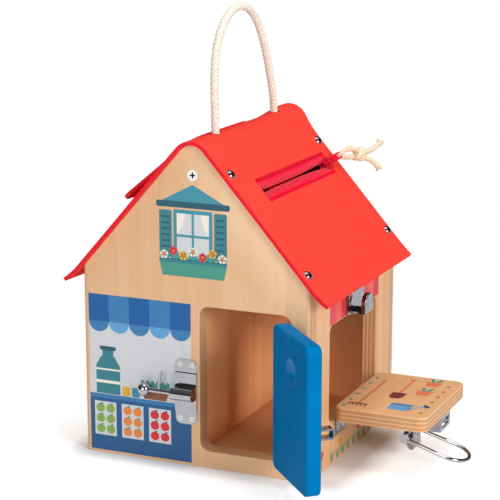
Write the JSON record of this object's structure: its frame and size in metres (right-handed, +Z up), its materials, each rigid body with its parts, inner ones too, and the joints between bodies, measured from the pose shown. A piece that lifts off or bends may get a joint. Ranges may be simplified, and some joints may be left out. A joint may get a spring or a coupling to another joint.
{
  "type": "wooden play house with latches",
  "caption": "Gabled plywood play house with a felt roof, a front door on a barrel bolt, a side flap on a toggle latch, a zip in the roof and a rope handle.",
  "frame": {"origin": "centre of the house's underside", "axes": "+Z up, the doorway faces -Y, the side flap opens towards +X"},
  "size_m": [0.3171, 0.3179, 0.367],
  "materials": {
    "plywood": "clear satin varnish",
    "door_paint": "satin blue paint",
    "felt": "pressed felt",
    "touch_fastener": "hook and loop",
    "zip_tape": "woven tape",
    "zip_coil": "moulded",
    "zip_metal": "enamel",
    "cotton_cord": "twisted cotton",
    "chrome": "polished",
    "screw_steel": "zinc plated"
  },
  "bodies": {
    "house": {"front_panel": "plywood", "back_panel": "plywood", "left_wall": "plywood", "right_wall": "plywood", "floor_panel": "plywood", "centre_partition": "plywood", "ridge_beam": "plywood", "panel_dowels": "plywood", "ridge_screws": "screw_steel", "roof_felt": "felt", "roof_rivets": "chrome", "flap_hem": "felt", "roof_fastener": "touch_fastener", "zip_tapes": "zip_tape", "zip_coils": "zip_coil", "zip_stop": "zip_metal", "handle_rope": "cotton_cord", "rope_knots": "cotton_cord", "door_hinge_frame_leaves": "chrome", "door_hinge_frame_screws": "screw_steel", "door_hinge_pins": "chrome", "bolt_plate": "chrome", "bolt_plate_screws": "screw_steel", "flap_hinge_wall_leaves": "chrome", "flap_hinge_wall_screws": "screw_steel", "flap_hinge_pins": "chrome", "latch_catch": "chrome", "catch_screws": "screw_steel"},
    "front_door": {"front_door": "door_paint", "door_hinge_door_leaves": "chrome", "door_hinge_door_screws": "screw_steel", "bolt_keeper": "chrome", "keeper_screws": "screw_steel"},
    "door_bolt": {"bolt_rod": "chrome", "bolt_tail": "chrome"},
    "side_flap": {"side_flap": "plywood", "flap_hinge_leaves": "chrome", "flap_hinge_screws": "screw_steel", "latch_base": "chrome", "latch_base_screws": "screw_steel", "latch_lever_pin": "chrome"},
    "latch_lever": {"latch_lever": "chrome"},
    "latch_bail": {"latch_bail": "chrome"},
    "zip_slider": {"zip_slider": "zip_metal"},
    "zip_pull": {"zip_pull_tab": "zip_metal", "pull_cord_upper": "cotton_cord", "pull_cord_lower": "cotton_cord", "pull_knot": "cotton_cord"},
    "roof_flap": {"roof_flap": "felt", "flap_fastener": "touch_fastener"}
  },
  "joints": [
    {"name": "door_hinge", "type": "hinge", "parent": "house", "child": "front_door", "pos_m": [0.0852, -0.1024, 0.074], "axis": [0, 0, 1], "range_deg": [-132.3, 45]},
    {"name": "bolt_slide", "type": "slide", "parent": "house", "child": "door_bolt", "axis": [1, 0, 0], "range_m": [0, 0.019]},
    {"name": "flap_hinge", "type": "hinge", "parent": "house", "child": "side_flap", "pos_m": [0.1022, -0.0017, 0.0362], "axis": [0, -1, 0], "range_deg": [0, 90]},
    {"name": "lever_hinge", "type": "hinge", "parent": "side_flap", "child": "latch_lever", "pos_m": [0.1525, -0.0017, 0.0305], "axis": [0, 1, 0], "range_deg": [-5, 88]},
    {"name": "bail_hinge", "type": "hinge", "parent": "latch_lever", "child": "latch_bail", "pos_m": [0.151, -0.0017, 0.018], "axis": [0, 1, 0], "range_deg": [-104.5, 5.94]},
    {"name": "zip_slide", "type": "slide", "parent": "house", "child": "zip_slider", "axis": [0, -1, 0], "range_m": [0, 0.132]},
    {"name": "pull_hinge", "type": "hinge", "parent": "zip_slider", "child": "zip_pull", "pos_m": [0.04513, 0.0786, 0.22493], "axis": [0.6594, 0, -0.7518], "range_deg": [0, 100]},
    {"name": "roof_flap_hinge", "type": "hinge", "parent": "house", "child": "roof_flap", "pos_m": [-0.01213, -0.0205, 0.26337], "axis": [0, 1, 0], "range_deg": [-5.5, 100]}
  ],
  "couplings": [
    {"joint": "bail_hinge", "follows": "lever_hinge", "ratio": -1.1875}
  ]
}
